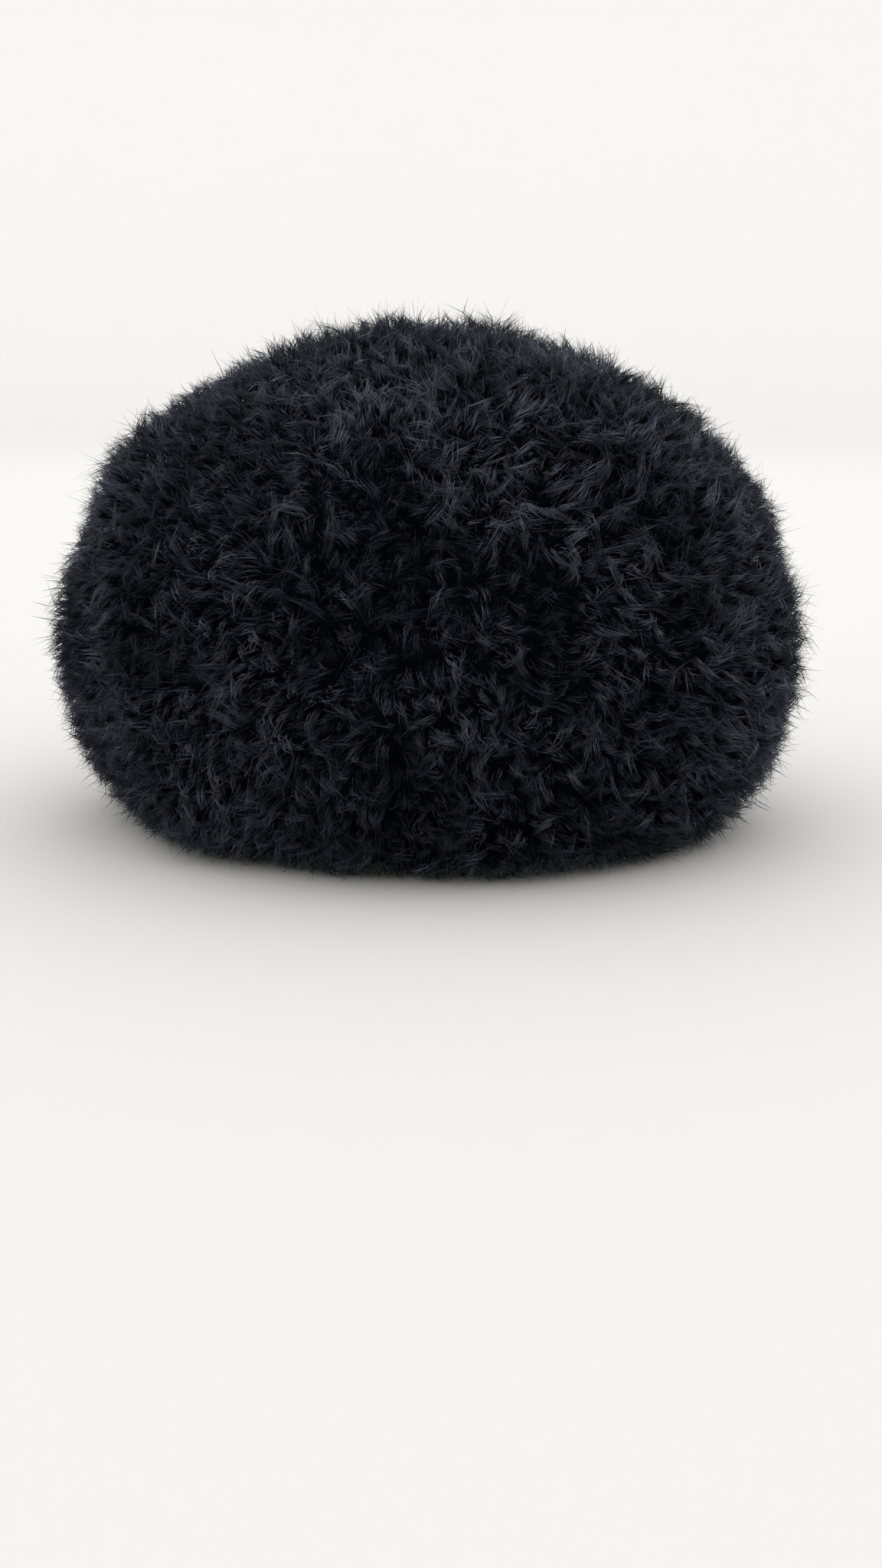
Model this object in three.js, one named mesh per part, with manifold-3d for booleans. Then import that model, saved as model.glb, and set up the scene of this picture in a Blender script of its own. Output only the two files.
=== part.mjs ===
// A telpek, the tall round sheepskin hat of the Turkmen, with its long black wool outside.
// Millimetres, +Z up. The hat stands on the wool of its rim, with its front towards -Y.
// Two panels of skin make the cap that holds the head: a side panel, and a crown panel sewn to its
// top edge. Each panel carries its own wool, a thick body of fleece with locks standing out of it.
import * as THREE from "three";
import { mergeVertices } from "three/addons/utils/BufferGeometryUtils.js";
import Module from "manifold-3d";

const wasm = await Module();
wasm.setup();

// Driving sizes of the cap
const headLength = 208; // inside the rim, front to back
const headWidth = 178; // inside the rim, side to side
const skinWall = 2.5;
const seamHeight = 140; // where the crown panel is sewn on, above the floor
const crownRise = 24; // how far the crown panel domes up inside
const rimLift = 3; // the skin's rim stands clear of the floor, on the wool

// Driving sizes of the wool, over the tips of its locks
const hatLength = 362;
const hatWidth = 340;
const hatHeight = 236;
const lockStandOut = 20; // from the body of the fleece to the lock tips
const lockWidth = 60;
const lockRoot = 8; // how deep a lock starts inside the body of the fleece
const lockCount = 150;
const lockDroop = 0.4; // how far a lock's tip sinks, as a share of its length
const lockBelly = 1.1; // how full a lock is at half its length; 0 is a plain cone

// Clearances
const panelGap = 0.4; // between the two panels, and between skin and wool
const partingGap = 0.6; // between the wool of the two panels

// Fineness of the facets
const facetsAround = 32;
const rowsOfCore = 9;
const rowsOfSkin = 5;
const sidesOfLock = 5;
const rowsOfLock = 2;
const growthSteps = 200; // how finely the locks' places are worked out, from top to floor
const weldDistance = 1e-3;

// The wool's outline from the floor to the top: out is a share of the hat's half width, and up is a
// share of its height.
const woolOutline = [
  { out: 0.8, up: 0.0 },
  { out: 0.9, up: 0.07 },
  { out: 0.965, up: 0.15 },
  { out: 1.0, up: 0.32 },
  { out: 0.985, up: 0.47 },
  { out: 0.92, up: 0.635 },
  { out: 0.79, up: 0.77 },
  { out: 0.6, up: 0.875 },
  { out: 0.36, up: 0.965 },
  { out: 0.15, up: 0.995 },
  { out: 0.0, up: 1.0 },
];

// The side panel's inner face from the rim to the seam: out is a share of the head's half width, and
// up is a share of the way to the seam.
const sideOutline = [
  { out: 1.0, up: 0.0 },
  { out: 1.025, up: 0.35 },
  { out: 1.01, up: 0.72 },
  { out: 0.93, up: 1.0 },
];

// The locks' own differences, one row after the other round the hat: reach and girth are shares of
// lockStandOut and lockWidth, and sweep turns the lock aside as a share of its length.
const lockKinds = [
  { reach: 1.0, girth: 1.0, sweep: 0.3 },
  { reach: 0.8, girth: 0.9, sweep: -0.2 },
  { reach: 0.94, girth: 1.08, sweep: 0.1 },
  { reach: 0.7, girth: 0.95, sweep: -0.4 },
  { reach: 0.88, girth: 0.88, sweep: 0.25 },
  { reach: 0.76, girth: 1.04, sweep: -0.05 },
  { reach: 0.97, girth: 0.92, sweep: -0.3 },
  { reach: 0.66, girth: 1.0, sweep: 0.4 },
  { reach: 0.9, girth: 0.96, sweep: 0.0 },
];

// A closed solid of three.js as a solid that can be joined and cut.
function solidOf(geometry) {
  const bare = geometry.clone();
  bare.deleteAttribute("normal");
  bare.deleteAttribute("uv");
  const merged = mergeVertices(bare, weldDistance);
  return new wasm.Manifold(
    new wasm.Mesh({
      numProp: 3,
      vertProperties: merged.attributes.position.array,
      triVerts: new Uint32Array(merged.index.array),
    }),
  );
}

// A joined or cut solid as a three.js geometry with flat faces.
function geometryOf(solid) {
  const mesh = solid.getMesh();
  const geometry = new THREE.BufferGeometry();
  geometry.setAttribute("position", new THREE.BufferAttribute(mesh.vertProperties, 3));
  geometry.setIndex(new THREE.BufferAttribute(mesh.triVerts, 1));
  const flat = geometry.toNonIndexed();
  flat.computeVertexNormals();
  return flat;
}

// Turns a profile round the Z axis and draws it out front to back, so that a circle of the given
// width becomes an oval of the given length. Outside that circle the wall keeps its thickness.
function ovalTurn(profile, width, length) {
  const geometry = new THREE.LatheGeometry(profile, facetsAround);
  geometry.rotateX(Math.PI / 2);
  const at = geometry.attributes.position;
  for (let i = 0; i < at.count; i++) {
    const radius = Math.max(Math.hypot(at.getX(i), at.getY(i)), width / 2);
    at.setY(i, at.getY(i) * (1 + (length - width) / 2 / radius));
  }
  return geometry;
}

// A smooth line through a table's rows, from its shares of a width and of a height.
function outlineOf(table, halfWidth, bottom, top) {
  const points = table.map(
    (row) => new THREE.Vector2(row.out * halfWidth, bottom + row.up * (top - bottom)),
  );
  return new THREE.SplineCurve(points);
}

// The crown panel's dome from the seam to the axis, a quarter of an ellipse.
function domeOf(radius, bottom, rise, rows) {
  return Array.from({ length: rows + 1 }, (_, row) => {
    const turn = ((Math.PI / 2) * row) / rows;
    const out = row === rows ? 0 : radius * Math.cos(turn);
    return new THREE.Vector2(out, bottom + rise * Math.sin(turn));
  });
}

// The side panel's face from rim to seam, moved outwards by a thickness.
function sideFace(thickness) {
  const face = outlineOf(sideOutline, headWidth / 2, rimLift, seamHeight);
  return face.getPoints(rowsOfSkin).map((p) => new THREE.Vector2(p.x + thickness, p.y));
}

const seamRadius = (sideOutline.at(-1).out * headWidth) / 2;

function sideSkin() {
  const inside = sideFace(0);
  const outside = sideFace(skinWall);
  const profile = [...outside, ...inside.reverse(), outside[0].clone()];
  return ovalTurn(profile, headWidth, headLength);
}

function crownSkin() {
  const bottom = seamHeight + panelGap;
  const outside = domeOf(seamRadius + skinWall, bottom, crownRise + skinWall, rowsOfSkin);
  const inside = domeOf(seamRadius, bottom, crownRise, rowsOfSkin);
  const profile = [...inside.reverse(), ...outside];
  return ovalTurn(profile, headWidth, headLength);
}

// The space that the cap takes out of the fleece, open through the floor.
function capSpace() {
  const thickness = skinWall + panelGap;
  const side = sideFace(thickness);
  const below = new THREE.Vector2(side[0].x, -hatHeight);
  const crown = domeOf(
    seamRadius + thickness,
    seamHeight + panelGap,
    crownRise + thickness,
    rowsOfSkin,
  );
  const profile = [new THREE.Vector2(0, -hatHeight), below, ...side, ...crown];
  return solidOf(ovalTurn(profile, headWidth, headLength));
}

// The body of the fleece, filled to the axis, without its locks.
const coreWidth = hatWidth - 2 * lockStandOut;
const coreLength = hatLength - 2 * lockStandOut;
const coreLine = outlineOf(woolOutline, coreWidth / 2, 0, hatHeight - lockStandOut);

function fleeceCore() {
  const profile = [new THREE.Vector2(0, 0), ...coreLine.getSpacedPoints(rowsOfCore)];
  profile.at(-1).x = 0;
  return solidOf(ovalTurn(profile, coreWidth, coreLength));
}

// Where a lock grows: share runs evenly over the fleece's surface, from the top to the floor.
function growthAt(share, angle) {
  const line = coreLine.getSpacedPoints(growthSteps).reverse();
  const areas = line.map((p, i) => (i ? p.x + line[i - 1].x : 0));
  const whole = areas.reduce((sum, area) => sum + area, 0);
  let row = 0;
  for (let sum = 0; sum < share * whole && row < growthSteps; sum += areas[row]) row++;
  const here = line[row];
  const before = line[Math.max(row - 1, 0)];
  const after = line[Math.min(row + 1, growthSteps)];
  const slope = new THREE.Vector2().subVectors(after, before).normalize();
  const stretch = coreLength / coreWidth;
  const place = new THREE.Vector3(
    here.x * Math.cos(angle),
    here.x * Math.sin(angle) * stretch,
    here.y,
  );
  const outward = new THREE.Vector3(
    -slope.y * Math.cos(angle),
    (-slope.y * Math.sin(angle)) / stretch,
    slope.x,
  ).normalize();
  return { place, outward };
}

// One lock: a cone with a full belly, bent down and aside towards its tip.
function lock({ place, outward }, kind) {
  const reach = kind.reach * lockStandOut;
  const length = reach + lockRoot;
  const geometry = new THREE.ConeGeometry(
    (kind.girth * lockWidth) / 2,
    length,
    sidesOfLock,
    rowsOfLock,
  );
  geometry.rotateX(Math.PI / 2);
  geometry.translate(0, 0, length / 2);
  const down = new THREE.Vector3(0, 0, -1).projectOnPlane(outward);
  const aside = new THREE.Vector3().crossVectors(outward, new THREE.Vector3(0, 0, 1));
  const across = new THREE.Vector3(1, 0, 0).projectOnPlane(outward).normalize();
  const along = new THREE.Vector3().crossVectors(outward, across);
  const at = geometry.attributes.position;
  const start = place.clone().addScaledVector(outward, -lockRoot);
  for (let i = 0; i < at.count; i++) {
    const share = at.getZ(i) / length;
    const belly = 1 + lockBelly * share;
    const bend = length * share * share;
    const point = start
      .clone()
      .addScaledVector(across, at.getX(i) * belly)
      .addScaledVector(along, at.getY(i) * belly)
      .addScaledVector(outward, share * length)
      .addScaledVector(down, bend * lockDroop)
      .addScaledVector(aside, bend * kind.sweep);
    at.setXYZ(i, point.x, point.y, point.z);
  }
  return solidOf(geometry);
}

// The whole fleece round the cap: locks set in a spiral, and everything flat where it meets the floor.
function wholeFleece() {
  const goldenAngle = Math.PI * (3 - Math.sqrt(5));
  let fleece = fleeceCore();
  for (let i = 0; i < lockCount; i++) {
    const growth = growthAt((i + 0.5) / lockCount, i * goldenAngle);
    fleece = fleece.add(lock(growth, lockKinds[i % lockKinds.length]));
  }
  const room = 2 * (hatLength + hatWidth);
  const aboveFloor = new THREE.BoxGeometry(room, room, room).translate(0, 0, room / 2);
  return fleece.intersect(solidOf(aboveFloor)).subtract(capSpace());
}

// Everything above a cone that opens upwards at 45 degrees from the seam, lifted by some height.
function aboveParting(lift) {
  const bottom = seamHeight + panelGap / 2 + lift;
  const radius = seamRadius + skinWall;
  const profile = [
    new THREE.Vector2(0, bottom),
    new THREE.Vector2(radius, bottom),
    new THREE.Vector2(radius + hatHeight, bottom + hatHeight),
    new THREE.Vector2(0, bottom + hatHeight),
  ];
  return solidOf(ovalTurn(profile, headWidth, headLength));
}

// The piece's largest body, without the lock tips that the parting cuts off.
function largestBody(solid) {
  return solid.decompose().reduce((a, b) => (b.volume() > a.volume() ? b : a));
}

const wholeWool = wholeFleece();
const crownWool = largestBody(wholeWool.intersect(aboveParting(partingGap / 2)));
const sideWool = largestBody(wholeWool.subtract(aboveParting(-partingGap / 2)));

const skinFinish = new THREE.MeshStandardMaterial({ color: 0x2b2724, roughness: 0.9 });
const woolFinish = new THREE.MeshStandardMaterial({ color: 0x14161b, roughness: 0.85 });

const hat = new THREE.Group();

function addPiece(name, geometry, finish) {
  const piece = new THREE.Mesh(geometry, finish);
  piece.name = name;
  hat.add(piece);
}

addPiece("side_skin", sideSkin(), skinFinish);
addPiece("crown_skin", crownSkin(), skinFinish);
addPiece("side_fleece", geometryOf(sideWool), woolFinish);
addPiece("crown_fleece", geometryOf(crownWool), woolFinish);

// The wool's own differences leave it a little to one side, so the hat is set over its origin.
const reach = new THREE.Box3().setFromObject(hat);
const middle = reach.getCenter(new THREE.Vector3());
hat.position.set(-middle.x, -middle.y, -reach.min.z);

export default hat;
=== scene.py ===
"""Dresses a telpek, the tall round sheepskin hat of the Turkmen, in its long black wool.

The file is laid out as an add-on and is run as a script. Everything is in metres, with the floor
at zero, the crown up and the front of the hat towards -Y. The two panels of skin are the fixed
frame's own solids. The wool of each panel is an undercoat with strands grown out of it, gathered
into wisps.
"""

import math

import bmesh
import bpy
from bpy.props import (
    FloatProperty,
    FloatVectorProperty,
    IntProperty,
    PointerProperty,
)
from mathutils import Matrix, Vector, noise


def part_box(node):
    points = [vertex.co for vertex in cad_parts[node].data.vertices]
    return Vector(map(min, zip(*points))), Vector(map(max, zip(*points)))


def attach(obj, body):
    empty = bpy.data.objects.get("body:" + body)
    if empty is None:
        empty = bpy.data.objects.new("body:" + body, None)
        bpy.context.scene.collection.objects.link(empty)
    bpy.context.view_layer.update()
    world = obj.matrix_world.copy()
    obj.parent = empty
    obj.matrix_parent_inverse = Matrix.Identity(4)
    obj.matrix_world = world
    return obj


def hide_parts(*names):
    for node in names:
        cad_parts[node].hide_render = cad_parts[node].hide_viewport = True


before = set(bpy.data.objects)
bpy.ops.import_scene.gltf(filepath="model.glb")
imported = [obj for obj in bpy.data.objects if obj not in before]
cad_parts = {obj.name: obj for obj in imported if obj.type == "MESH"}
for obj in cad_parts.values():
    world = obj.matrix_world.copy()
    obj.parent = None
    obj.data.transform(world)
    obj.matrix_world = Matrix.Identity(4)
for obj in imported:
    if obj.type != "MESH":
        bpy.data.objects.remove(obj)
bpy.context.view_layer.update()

bl_info = {
    "name": "Telpek",
    "version": (1, 0, 0),
    "blender": (4, 5, 0),
    "location": "View3D > Sidebar > Telpek",
    "description": "Grows the wool of a telpek hat, sews its two skins together and lights it",
    "category": "Object",
}

IMAGE_WIDTH = 1152
IMAGE_HEIGHT = 2048
MM = 0.001

SKIN_LOW, SKIN_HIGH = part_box("side_skin")
DOME_LOW, DOME_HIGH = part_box("crown_skin")
SIDE_LOW, SIDE_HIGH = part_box("side_fleece")
CROWN_LOW, CROWN_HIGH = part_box("crown_fleece")

# The hat is an oval turned about this upright axis
AXIS = (SKIN_LOW + SKIN_HIGH) / 2
HALF_WIDTH = (SIDE_HIGH.x - SIDE_LOW.x) / 2
HALF_LENGTH = (SIDE_HIGH.y - SIDE_LOW.y) / 2
HEIGHT = CROWN_HIGH.z

# The skin's own half width at its fullest, how much longer it is than wide, and the gap that the
# wool keeps to it
SKIN_REACH = (SKIN_HIGH.x - SKIN_LOW.x) / 2
SKIN_EXTRA = (SKIN_HIGH.y - SKIN_LOW.y) / 2 - SKIN_REACH
SKIN_WALL = 2.5 * MM
SKIN_GAP = 0.8 * MM

# The wool's outline from the floor to the top: shares of the half width and of the height
WOOL_OUTLINE = (
    (0.79, 0.0),
    (0.87, 0.06),
    (0.945, 0.15),
    (1.0, 0.32),
    (0.985, 0.47),
    (0.915, 0.635),
    (0.778, 0.77),
    (0.56, 0.88),
    (0.31, 0.96),
    (0.13, 0.985),
    (0.0, 0.99),
)

# The side panel's outline from its rim to the seam: shares of its fullest half width inside, and of
# its height
SKIN_OUTLINE = ((0.976, 0.0), (1.0, 0.35), (0.985, 0.72), (0.907, 1.0))

# The stretches of the hat whose wool is one piece each, by the number that the surface carries
STRETCHES = ("crown_left", "crown_right", "rim", "front", "left", "back", "right")

# A row of a turned shape is its half width, its half length, its height and how lumpy it is
ROWS_UP = 56
ROWS_OF_RIM = 6
ROWS_INSIDE = 8
COLUMNS = 144

# The undercoat's least height over the floor. Its lumps have this height and width, are full from
# this height on, and point away from a place this share of the way up the hat
UNDERCOAT_LIFT = 4 * MM
LUMP = 5.5 * MM
LUMP_WIDTH = 48 * MM
LUMP_FULL_FROM = 30 * MM
LUMP_CENTRE = 0.4

# What turns the wisps aside: wide swirls, small swirls, a way of their own, a pull down and a pull
# outwards, which grows where the wool faces the floor
WIDE_SWIRL = 42 * MM
WIDE_PULL = 3.0
SMALL_SWIRL = 11 * MM
SMALL_PULL = 2.8
OWN_PULL = 0.8
DOWN_PULL = (0.0, 0.0, -0.22)
OUTWARD_PULL = 0.2
UNDERSIDE_PULL = 1.6

# A wisp's length in shares of the strand length, and what its tuft and chance add to it
TUFT = 30 * MM
SIZE = 0.82
SIZE_BY_TUFT = 0.8
SIZE_BY_CHANCE = 0.36

# Where along its wisp a strand ends
END_LEAST = 0.54
END_BY_CHANCE = 0.5

# Where it starts, in shares of its end: most strands begin above the undercoat, the others in it
HIGH_START_BELOW = 0.65
START_LEAST = 0.25
START_BY_CHANCE = 0.3

# How far a wisp bends over, how much height that takes, how far it curls in radians, how much more
# it closes up from tuft to tuft, and how far its strands waver
BEND_LEAST = 0.25
BEND_BY_CHANCE = 1.1
BEND_BY_TUFT = 1.2
HEIGHT_LOST = 0.22
CURL = 2.5
TIGHTER_BY_TUFT = 1.5
WAVER = 0.2

# The stray strands, those whose chance lies above a limit, stand up as a fringe. They end further
# out, bend less, lose less height, close up less and waver more by these shares
STRAY_ABOVE = 0.85
STRAY_FURTHER = 0.03
STRAY_UPRIGHT = 0.65
STRAY_HIGHER = 0.1
STRAY_OPENER = 0.75
STRAY_WAVER = 0.3


class TelpekWool(bpy.types.PropertyGroup):
    """The sizes and colours of the wool."""

    height: FloatProperty(
        name="Wool height",
        description="From the undercoat to the tips of the wool, straight out",
        default=16 * MM,
        unit="LENGTH",
    )
    length: FloatProperty(
        name="Strand length",
        description="Length of a strand before it bends",
        default=21 * MM,
        unit="LENGTH",
    )
    thickness: FloatProperty(
        name="Strand thickness",
        description="Thickness of a strand at its fullest",
        default=0.28 * MM,
        unit="LENGTH",
    )
    spacing: FloatProperty(
        name="Wisp spacing",
        description="Least distance between the middles of two wisps",
        default=3.1 * MM,
        unit="LENGTH",
    )
    density: FloatProperty(
        name="Strands",
        description="Strands on each square metre of undercoat",
        default=698000.0,
    )
    rim_share: FloatProperty(
        name="Rim share",
        description="How densely the wool grows under the rim, as a share of the rest",
        default=0.45,
        subtype="FACTOR",
    )
    pinch: FloatProperty(
        name="Pinch",
        description="How far the strands of a wisp close up at its tip",
        default=0.68,
        subtype="FACTOR",
    )
    lean: FloatProperty(
        name="Lean",
        description="How far a wisp's tip leans aside, as a share of its length",
        default=0.6,
        subtype="FACTOR",
    )
    seed: IntProperty(
        name="Seed",
        description="Picks another fall of the wool",
        default=7,
    )
    # The root colour is painted shade: the strands darken towards it deep in the wool
    root_shade_colour: FloatVectorProperty(
        name="Root colour",
        description="Colour of the wool near the skin",
        default=(0.0018, 0.0021, 0.0033),
        subtype="COLOR",
        size=3,
    )
    tip_colour: FloatVectorProperty(
        name="Tip colour",
        description="Colour of the wool at the tips",
        default=(0.077, 0.0875, 0.1155),
        subtype="COLOR",
        size=3,
    )


class TelpekSkin(bpy.types.PropertyGroup):
    """The finish of the skin panels and the thread that joins them."""

    colour: FloatVectorProperty(
        name="Suede colour",
        description="Colour of the flesh side of the skin",
        default=(0.045, 0.037, 0.031),
        subtype="COLOR",
        size=3,
    )
    thread_colour: FloatVectorProperty(
        name="Thread colour",
        description="Colour of the thread along the seam",
        default=(0.011, 0.0125, 0.017),
        subtype="COLOR",
        size=3,
    )
    stitch_length: FloatProperty(
        name="Stitch length",
        description="How far a stitch reaches from panel to panel",
        default=7 * MM,
        unit="LENGTH",
    )
    stitch_spacing: FloatProperty(
        name="Stitch spacing",
        description="Distance from stitch to stitch along the seam",
        default=4.5 * MM,
        unit="LENGTH",
    )
    thread_thickness: FloatProperty(
        name="Thread thickness",
        description="Thickness of the thread",
        default=1.1 * MM,
        unit="LENGTH",
    )


class TelpekStage(bpy.types.PropertyGroup):
    """The floor, the lights and the camera."""

    floor_colour: FloatVectorProperty(
        name="Floor colour",
        description="Colour of the floor round the hat",
        default=(0.59, 0.587, 0.576),
        subtype="COLOR",
        size=3,
    )
    wall_colour: FloatVectorProperty(
        name="Wall colour",
        description="Colour of the backdrop's wall, which stands in less light than the floor",
        default=(0.705, 0.702, 0.69),
        subtype="COLOR",
        size=3,
    )
    backdrop_radius: FloatProperty(
        name="Backdrop radius",
        description="From the hat to the backdrop's wall",
        default=4.5,
        unit="LENGTH",
    )
    sky_strength: FloatProperty(
        name="Sky strength",
        description="Brightness of the even light from above the backdrop",
        default=1.72,
    )
    top_power: FloatProperty(
        name="Top light",
        description="Power of the broad light over the hat",
        default=1.0,
        unit="POWER",
    )
    back_power: FloatProperty(
        name="Back light",
        description="Power of the light behind the hat",
        default=5.0,
        unit="POWER",
    )
    azimuth: FloatProperty(
        name="Azimuth",
        description="Where the camera stands round the hat, from the front",
        default=math.radians(-53),
        subtype="ANGLE",
    )
    elevation: FloatProperty(
        name="Elevation",
        description="How far the camera looks down on the hat's middle",
        default=math.radians(7),
        subtype="ANGLE",
    )
    distance: FloatProperty(
        name="Distance",
        description="From the camera to the hat's middle",
        default=1.1,
        unit="LENGTH",
    )


class NodeWork:
    """Adds nodes to a tree. An input is given a value, or a socket to be linked from."""

    def __init__(self, tree):
        self.tree = tree

    def add(self, kind, inputs=None, **settings):
        made = self.tree.nodes.new(kind)
        for name, value in settings.items():
            setattr(made, name, value)
        for key, value in (inputs or {}).items():
            if isinstance(value, bpy.types.NodeSocket):
                self.tree.links.new(value, made.inputs[key])
            else:
                made.inputs[key].default_value = value
        return made

    def number(self, operation, *values):
        made = self.add("ShaderNodeMath", dict(enumerate(values)), operation=operation)
        return made.outputs[0]

    def vector(self, operation, *values):
        made = self.add("ShaderNodeVectorMath", dict(enumerate(values)), operation=operation)
        return made.outputs[1 if operation == "DOT_PRODUCT" else 0]

    def scaled(self, vector, factor):
        inputs = {0: vector, "Scale": factor}
        return self.add("ShaderNodeVectorMath", inputs, operation="SCALE").outputs[0]

    def total(self, *vectors):
        whole = vectors[0]
        for vector in vectors[1:]:
            whole = self.vector("ADD", whole, vector)
        return whole

    def parts(self, vector):
        return self.add("ShaderNodeSeparateXYZ", {0: vector}).outputs

    def joined(self, x, y, z):
        return self.add("ShaderNodeCombineXYZ", {0: x, 1: y, 2: z}).outputs[0]

    def attribute(self, name, data_type):
        made = self.add("GeometryNodeInputNamedAttribute", {"Name": name}, data_type=data_type)
        return made.outputs["Attribute"]

    def stored(self, geometry, name, value, data_type, domain="POINT"):
        made = self.add(
            "GeometryNodeStoreNamedAttribute",
            {"Geometry": geometry, "Name": name, "Value": value},
            data_type=data_type,
            domain=domain,
        )
        return made.outputs["Geometry"]

    def any_way(self, chances):
        """A random direction out of three random numbers from 0 to 1."""
        return self.vector("SUBTRACT", self.joined(*chances), (0.5, 0.5, 0.5))

    def chance(self, place):
        """Three random numbers from 0 to 1 that belong to a place."""
        made = self.add(
            "ShaderNodeTexWhiteNoise",
            {"Vector": self.scaled(place, 1000.0)},
            noise_dimensions="3D",
        )
        return self.parts(made.outputs["Color"])

    def drift(self, place, size, seed):
        """A random direction that changes smoothly over about the given size."""
        moved = self.vector("ADD", self.scaled(place, 1 / size), seed)
        made = self.add(
            "ShaderNodeTexNoise",
            {"Vector": moved, "Scale": 1.0, "Detail": 1.0},
            noise_dimensions="3D",
        )
        return self.vector("SUBTRACT", made.outputs["Color"], (0.5, 0.5, 0.5))


def smooth_line(rows, steps):
    """Points evenly along a smooth line through the rows, a Catmull-Rom spline."""
    points = [Vector(row) for row in rows]
    fine = []
    per_row = 24
    for i in range(len(points) - 1):
        a = points[max(i - 1, 0)]
        b = points[i]
        c = points[i + 1]
        d = points[min(i + 2, len(points) - 1)]
        for k in range(per_row):
            t = k / per_row
            fine.append(
                b
                + (c - a) * 0.5 * t
                + (a - 2.5 * b + 2 * c - 0.5 * d) * t * t
                + (-a + 3 * b - 3 * c + d) * 0.5 * t * t * t
            )
    fine.append(points[-1])
    lengths = [0.0]
    for p, q in zip(fine, fine[1:]):
        lengths.append(lengths[-1] + (q - p).length)
    line = []
    k = 0
    for i in range(steps + 1):
        wanted = lengths[-1] * i / steps
        while k < len(fine) - 2 and lengths[k + 1] < wanted:
            k += 1
        share = (wanted - lengths[k]) / (lengths[k + 1] - lengths[k])
        line.append(fine[k].lerp(fine[k + 1], share))
    return line


def skin_row(radius, height):
    """A row just outside the skin, whose wall keeps its thickness round the oval."""
    inner = SKIN_REACH - SKIN_WALL
    extra = SKIN_EXTRA * min(1, (radius - SKIN_WALL) / inner)
    return (radius + SKIN_GAP, radius + extra + SKIN_GAP, height, 0)


def rows_beside_skin(steps):
    """The rows up the outside of the side panel, from its rim to the seam."""
    inner = SKIN_REACH - SKIN_WALL
    rise = SKIN_HIGH.z - UNDERCOAT_LIFT
    return [
        skin_row(p.x * inner + SKIN_WALL, UNDERCOAT_LIFT + p.y * rise)
        for p in smooth_line(SKIN_OUTLINE, steps)
    ]


def rows_over_dome(steps):
    """The rows over the outside of the crown panel, from the seam to the axis."""
    reach = (DOME_HIGH.x - DOME_LOW.x) / 2
    rise = DOME_HIGH.z - DOME_LOW.z + SKIN_GAP
    rows = []
    for i in range(steps):
        turn = math.pi / 2 * i / steps
        wide, long, height, lump = skin_row(reach, DOME_LOW.z)
        shrink = math.cos(turn)
        rows.append((wide * shrink, long * shrink, height + rise * math.sin(turn), lump))
    rows.append((0, 0, DOME_LOW.z + rise, 0))
    return rows


def undercoat_rows(wool_height):
    """The undercoat's rows from the rim, out over the floor and up to the top.

    They follow the wool's outline, moved in along its own slope by the height of the wool."""
    shares = smooth_line(WOOL_OUTLINE, ROWS_UP)
    outline = [Vector((p.x * HALF_WIDTH, p.y * HEIGHT)) for p in shares]
    stretch = HALF_LENGTH - HALF_WIDTH
    rows = []
    for i, point in enumerate(outline):
        slope = outline[min(i + 1, ROWS_UP)] - outline[max(i - 1, 0)]
        inward = Vector((-slope.y, slope.x)).normalized()
        moved = point + inward * wool_height
        wide = max(moved.x, 0) if i < ROWS_UP else 0
        height = max(moved.y, UNDERCOAT_LIFT)
        longer = stretch * wide / (HALF_WIDTH - wool_height)
        lump = LUMP * min(1, height / LUMP_FULL_FROM)
        rows.append((wide, wide + longer, height, lump if i < ROWS_UP else 0))
    first = rows_beside_skin(1)[0]
    ring = []
    for i in range(ROWS_OF_RIM):
        share = i / ROWS_OF_RIM
        ring.append(
            (
                first[0] + (rows[0][0] - first[0]) * share,
                first[1] + (rows[0][1] - first[1]) * share,
                UNDERCOAT_LIFT,
                0,
            )
        )
    return ring + rows


def parting_of(rows):
    """The first row above the slope that parts the crown's wool from the side's at the seam."""
    seam = rows_beside_skin(1)[-1][0]
    for i, (wide, _, height, _) in enumerate(rows):
        if height - DOME_LOW.z > wide - seam:
            return i
    raise RuntimeError("The undercoat's rows don't reach the parting")


def row_places(row):
    """The places of one row round the oval: a single one on the axis."""
    wide, long, height, lump = row
    if wide == 0:
        return [Vector((AXIS.x, AXIS.y, height))]
    places = []
    for k in range(COLUMNS):
        turn = math.tau * k / COLUMNS
        place = Vector((AXIS.x + wide * math.cos(turn), AXIS.y + long * math.sin(turn), height))
        outward = (place - Vector((AXIS.x, AXIS.y, HEIGHT * LUMP_CENTRE))).normalized()
        places.append(place + outward * lump * noise.noise(place / LUMP_WIDTH))
    return places


def turned(name, rows, closes):
    """The faces between rows. They come in row order, a column at a time."""
    places = []
    starts = []
    counts = []
    for row in rows:
        starts.append(len(places))
        places += row_places(row)
        counts.append(len(places) - starts[-1])
    pairs = [(i, i + 1) for i in range(len(rows) - 1)]
    if closes:
        pairs.append((len(rows) - 1, 0))
    faces = []
    for low, high in pairs:
        if counts[low] == counts[high] == 1:
            # Both rows lie on the axis, with no face between them
            continue
        for k in range(COLUMNS):
            beside = (k + 1) % COLUMNS
            corners = []
            for row, columns in ((low, (k, beside)), (high, (beside, k))):
                if counts[row] == 1:
                    corners.append(starts[row])
                else:
                    corners += [starts[row] + column for column in columns]
            faces.append(corners)
    mesh = bpy.data.meshes.new(name)
    mesh.from_pydata(places, [], faces)
    mesh.shade_smooth()
    return mesh


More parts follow.
